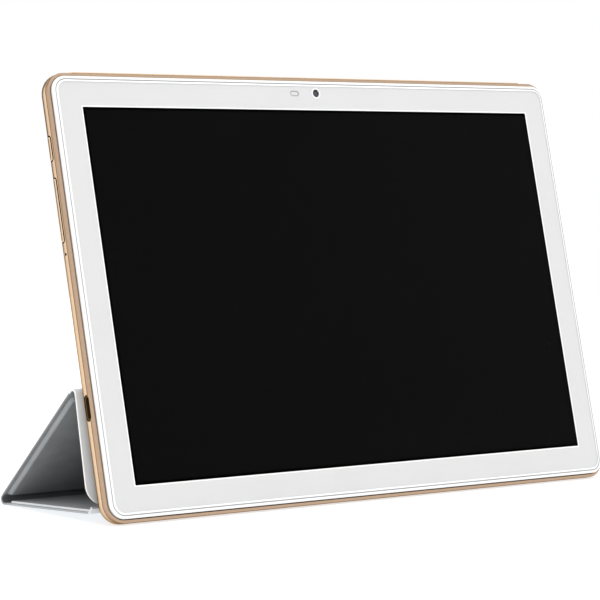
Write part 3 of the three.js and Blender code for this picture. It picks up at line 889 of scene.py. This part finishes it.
def make_cover():
    make_panel("cover_base_panel", BASE, "cover_base", (SPINE_REACH, BASE_LENGTH - FOLD_REACH),
               (-SKIN / 2, BASE_BOARD_FACE), BASE_MARGINS, BASE_BEVEL_WIDTH,
               (LEATHER, LEATHER_EDGE, LINING, BASE_BEVEL_HIGHLIGHT, LINING),
               ("cover_base_skin", "cover_base_board"))
    make_panel("cover_rear_panel", REAR, "cover_rear", (FOLD_REACH, REAR_LENGTH - FOLD_REACH),
               (-BUILD, 0), REAR_MARGINS, BEVEL_WIDTH,
               (LEATHER, LINING, LINING, LINING_BEVEL_HIGHLIGHT, LINING),
               ("cover_rear_skin", "cover_rear_board"))
    make_panel("cover_flap_panel", FLAP, "cover_flap", (FOLD_REACH, FLAP_LENGTH),
               (-BUILD, 0), FLAP_MARGINS, BEVEL_WIDTH,
               (LEATHER, CUT_EDGE_HIGHLIGHT, LINING, LINING_BEVEL_HIGHLIGHT, LINING),
               ("cover_flap_skin", "cover_flap_board"))
    rear = fold_stations(REAR_FOLD, BASE, REAR)
    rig.blend(leather_strip("rear_fold_skin", rear, LINING_BEVEL_HIGHLIGHT, LINING_FOLD_SHADE), "cover_base",
             "cover_rear", start=rear[0][0], end=rear[-1][0])
    top = fold_stations(TOP_FOLD, REAR, FLAP)
    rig.blend(leather_strip("top_fold_skin", top, CUT_EDGE_HIGHLIGHT, LINING), "cover_rear", "cover_flap",
             start=top[0][0], end=top[-1][0])
    leave = SCREEN @ Vector((0, MOUNT_END, (MOUNT_NEAR + MOUNT_FAR) / 2))
    arrive = BASE @ Vector((0, SPINE_REACH, 0))
    spine = curve_stations(leave, UP * SPINE_EASE * MM, arrive, base_along * SPINE_EASE * MM)
    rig.blend(leather_strip("spine_skin", spine, BASE_BEVEL_HIGHLIGHT, LINING), "tablet", "cover_base",
             start=leave, end=arrive)
    make_mount_strip()


def make_mount_strip():
    """The bonded edge of the cover, wrapped round the casing's lower back edge."""
    centre = (-TABLET["half_height"] + SIDE["edge"], SIDE["low"])
    first, last = math.radians(234), math.radians(270)
    radii = (SIDE["low"] - MOUNT_FAR, SIDE["low"] - MOUNT_NEAR)
    section = []
    for radius, turns in zip(radii, (range(9), range(8, -1, -1))):
        arc = [first + (last - first) * turn / 8 for turn in turns]
        points = [(centre[0] + radius * math.cos(angle), centre[1] + radius * math.sin(angle))
                  for angle in arc]
        end = (MOUNT_END, centre[1] - radius)
        section += points + [end] if radius == radii[0] else [end] + points
    strip = loft("cover_mount", [[(x, y, z) for y, z in section] for x in (-MOUNT_HALF, MOUNT_HALF)],
                 (LEATHER,))
    dress(strip, SCREEN, "tablet", "cover_leather", "cover_mount_strip")


# ---- studio ----
AIM = Vector((-0.013190, -0.002604, 0.073367))
AZIMUTH = math.radians(39.473)
ELEVATION = math.radians(4.024)
ROLL = math.radians(0.997)
DISTANCE = 1.05648
FOCAL_LENGTH = 168.78


FLOOR_GLOW = 0.62                                 # the floor's own light, which softens shadows
ROOM_LIGHT = 1.12
FLAG_LIGHT = 0.3                                  # of the room's sector behind the tablet
FLAG_AZIMUTH = math.radians(23)
FLAG_WIDTH = math.radians(46)


def make_camera():
    level = math.cos(ELEVATION)
    forward = Vector((math.sin(AZIMUTH) * level, math.cos(AZIMUTH) * level, -math.sin(ELEVATION)))
    flat_right = forward.cross(Vector((0, 0, 1))).normalized()
    flat_up = flat_right.cross(forward)
    right = flat_right * math.cos(ROLL) + flat_up * math.sin(ROLL)
    above = flat_up * math.cos(ROLL) - flat_right * math.sin(ROLL)
    data = bpy.data.cameras.new("camera")
    data.lens = FOCAL_LENGTH
    camera = bpy.data.objects.new("camera", data)
    turn = Matrix((right, above, -forward)).transposed().to_4x4()
    camera.matrix_world = Matrix.Translation(AIM - forward * DISTANCE) @ turn
    bpy.context.scene.collection.objects.link(camera)
    bpy.context.scene.camera = camera


def make_floor():
    """A pale floor that glows a little."""
    data = bpy.data.meshes.new("floor")
    reach = 0.9
    data.from_pydata([(-reach, -reach, 0), (reach, -reach, 0), (reach, reach, 0),
                      (-reach, reach, 0)], [], [(0, 1, 2, 3)])
    floor = bpy.data.objects.new("floor", data)
    bpy.context.scene.collection.objects.link(floor)
    lit = shade("studio_floor", (0.42, 0.42, 0.42), (0.44, 0.44, 0.44), 0.8, 6, level=0.1)
    glow = lit.node_tree.nodes["Principled BSDF"].inputs
    glow["Emission Color"].default_value = (1, 1, 1, 1)
    glow["Emission Strength"].default_value = FLOOR_GLOW
    data.materials.append(lit)
    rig.stage(floor)


def area_light(name, place, aim, size, power):
    data = bpy.data.lights.new(name, "AREA")
    data.size = size
    data.energy = power
    light = bpy.data.objects.new(name, data)
    way = (Vector(aim) - Vector(place)).normalized()
    light.matrix_world = Matrix.Translation(place) @ way.to_track_quat("-Z", "Y").to_matrix().to_4x4()
    bpy.context.scene.collection.objects.link(light)


def make_light():
    """A white room with a dark flag behind the tablet and a large soft light overhead."""
    world = bpy.data.worlds.new("studio")
    bpy.context.scene.world = world
    world.use_nodes = True
    nodes, links = world.node_tree.nodes, world.node_tree.links
    lit = nodes["Background"]
    place = nodes.new("ShaderNodeTexCoord")
    across = nodes.new("ShaderNodeVectorMath")
    across.operation = "DOT_PRODUCT"
    across.inputs[1].default_value = (math.sin(FLAG_AZIMUTH), math.cos(FLAG_AZIMUTH), 0)
    links.new(place.outputs["Generated"], across.inputs[0])
    flag = nodes.new("ShaderNodeMapRange")
    flag.interpolation_type = "SMOOTHSTEP"
    flag.inputs["From Min"].default_value = math.cos(FLAG_WIDTH)
    flag.inputs["From Max"].default_value = math.cos(FLAG_WIDTH * 0.6)
    flag.inputs["To Min"].default_value = ROOM_LIGHT
    flag.inputs["To Max"].default_value = FLAG_LIGHT
    links.new(across.outputs["Value"], flag.inputs["Value"])
    links.new(flag.outputs["Result"], lit.inputs["Strength"])
    lit.inputs["Color"].default_value = (1, 1, 1, 1)
    seen = nodes.new("ShaderNodeBackground")
    seen.inputs["Color"].default_value = (1, 1, 1, 1)
    rays = nodes.new("ShaderNodeLightPath")
    mix = nodes.new("ShaderNodeMixShader")
    links.new(rays.outputs["Is Camera Ray"], mix.inputs["Fac"])
    links.new(lit.outputs["Background"], mix.inputs[1])
    links.new(seen.outputs["Background"], mix.inputs[2])
    links.new(mix.outputs["Shader"], nodes["World Output"].inputs["Surface"])
    area_light("overhead", (0.0, -0.1, 1.6), (0, 0, 0), 1.6, 12)


paint_cad_nodes()
make_case()
make_ring()
make_gasket()
make_glass()
make_border()
make_display()
make_front_optics()
make_rear_optics()
make_key("power_key_cap", POWER_KEY, "power_key", "power_button")
make_key("volume_key_cap", VOLUME_KEY, "volume_key", "volume_rocker")
make_top_strip()
make_cover()
make_camera()
make_floor()
make_light()
bpy.context.scene.view_settings.view_transform = "Standard"

sizes = {"cad": [list(corner) for corner in cad_box],
         "visual": [list(corner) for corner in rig.bounds()]}
with open("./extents.json", "w") as size_file:
    json.dump(sizes, size_file)
